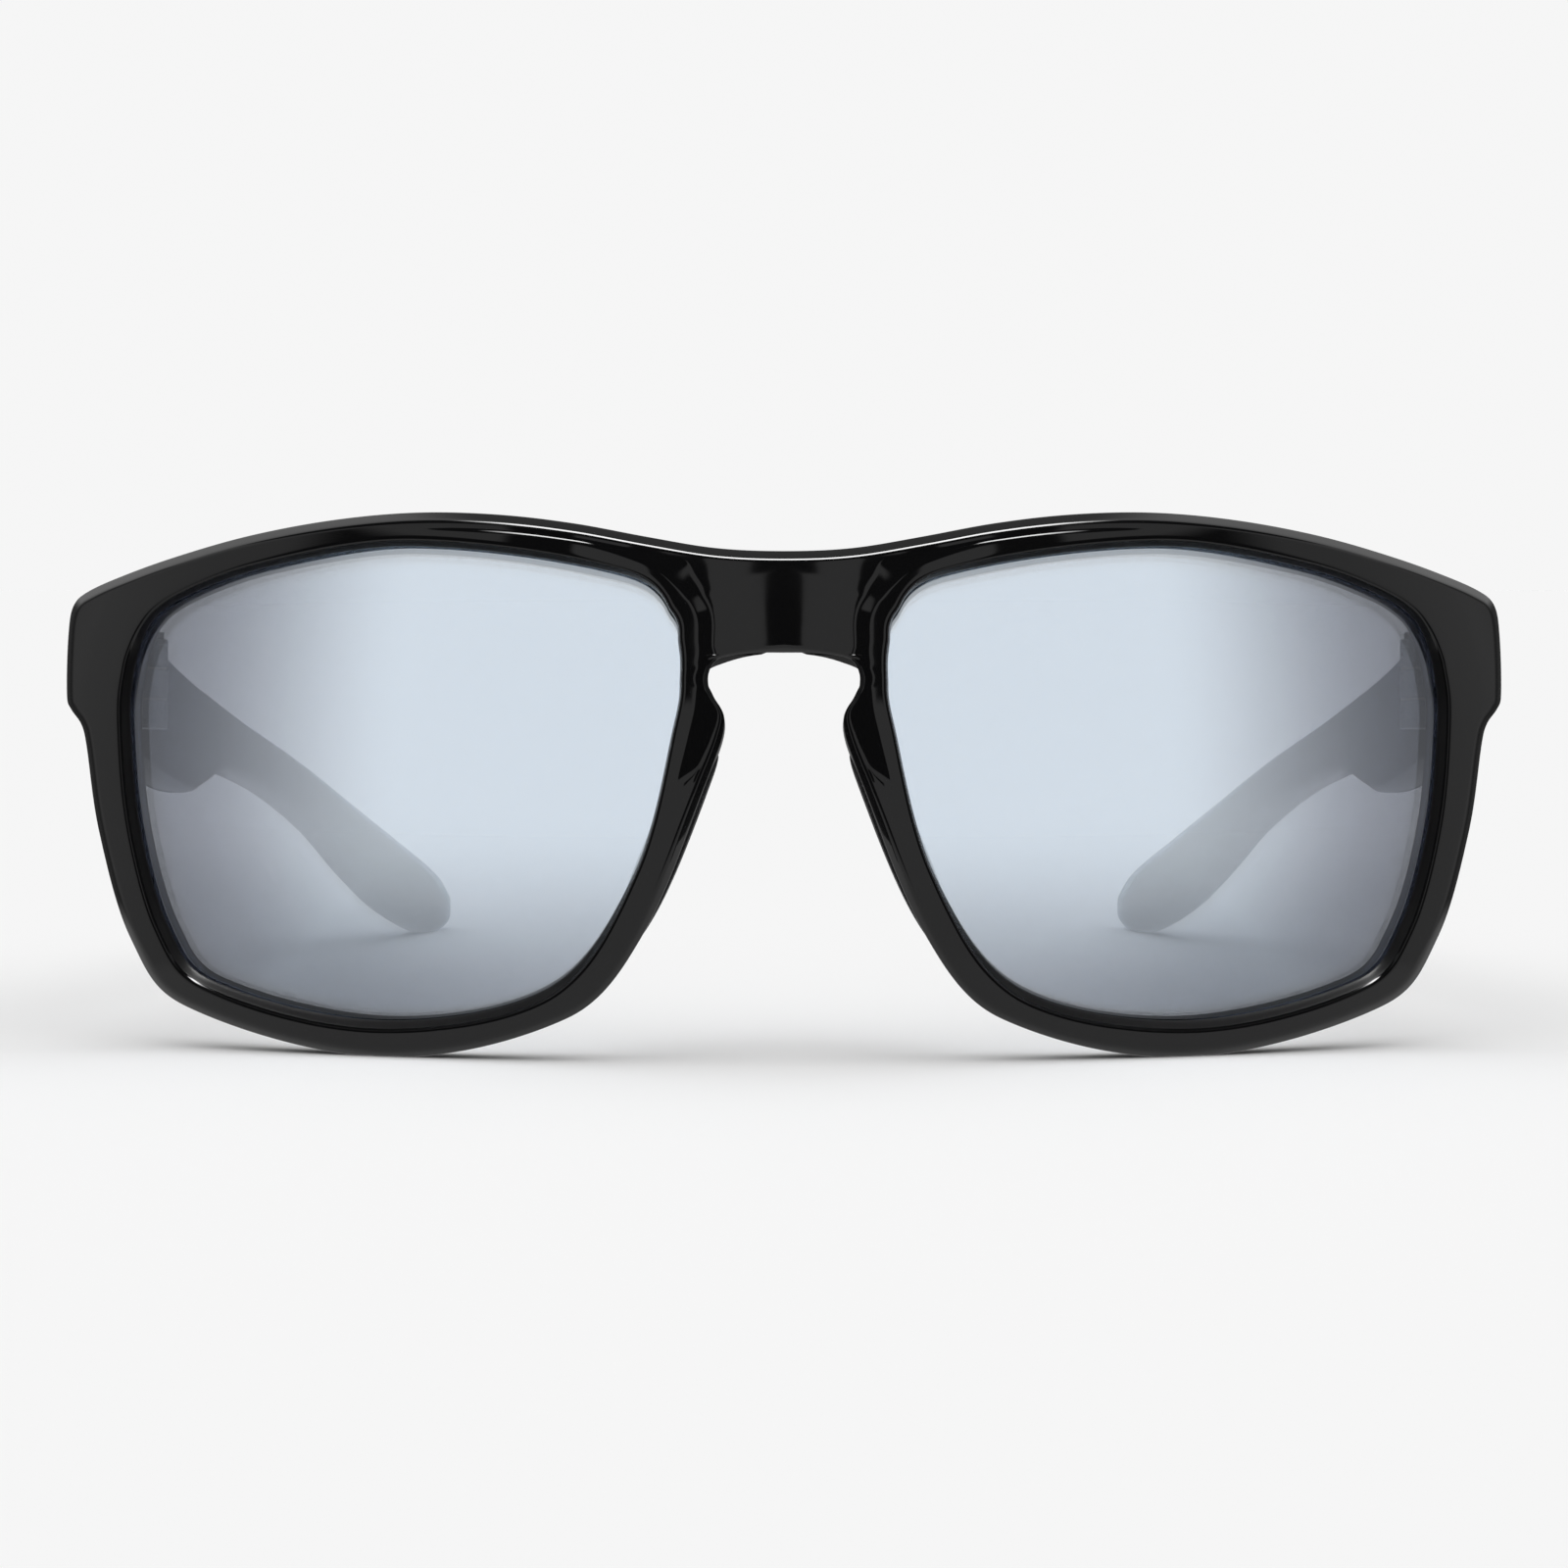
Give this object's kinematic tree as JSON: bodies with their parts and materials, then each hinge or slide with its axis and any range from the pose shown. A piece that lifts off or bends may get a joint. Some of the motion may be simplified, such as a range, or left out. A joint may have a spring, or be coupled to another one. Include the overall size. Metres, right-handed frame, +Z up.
{
  "type": "glacier glasses",
  "caption": "Wrap sunglasses with a moulded front, curved mirrored lenses, rubber nose pads and temples that fold on barrel hinges.",
  "frame": {"origin": "middle of the bottom of the object's box, on the surface that the rims and temple tips stand on", "axes": "+X towards the wearer's left, +Y from the front back to the temple tips, +Z up"},
  "size_m": [0.145, 0.1588, 0.0526],
  "materials": {
    "frame": "polished black nylon",
    "lens": "silver flash mirror over grey",
    "pad": "soft black",
    "hinge": "satin",
    "washer": "natural nylon"
  },
  "bodies": {
    "front": {"front_frame": "frame", "lens_left": "lens", "lens_right": "lens", "nose_pad_left": "pad", "nose_pad_right": "pad", "hinge_front_leaf_left": "hinge", "hinge_front_leaf_right": "hinge", "hinge_screw_left": "hinge", "hinge_screw_right": "hinge", "hinge_washer_left_1": "washer", "hinge_washer_left_2": "washer", "hinge_washer_right_1": "washer", "hinge_washer_right_2": "washer", "front_leaf_screw_left_1": "hinge", "front_leaf_screw_left_2": "hinge", "front_leaf_screw_right_1": "hinge", "front_leaf_screw_right_2": "hinge"},
    "temple_arm_left": {"temple_left": "frame", "hinge_temple_leaf_left": "hinge", "temple_leaf_screw_left_1": "hinge", "temple_leaf_screw_left_2": "hinge"},
    "temple_arm_right": {"temple_right": "frame", "hinge_temple_leaf_right": "hinge", "temple_leaf_screw_right_1": "hinge", "temple_leaf_screw_right_2": "hinge"}
  },
  "joints": [
    {"name": "temple_left_fold", "type": "hinge", "parent": "front", "child": "temple_arm_left", "pos_m": [0.0645, -0.04718, 0.03528], "axis": [0, 0.0872, 0.9962], "range_deg": [0, 82]},
    {"name": "temple_right_fold", "type": "hinge", "parent": "front", "child": "temple_arm_right", "pos_m": [-0.0645, -0.04718, 0.03528], "axis": [0, -0.0872, -0.9962], "range_deg": [0, 75]}
  ]
}
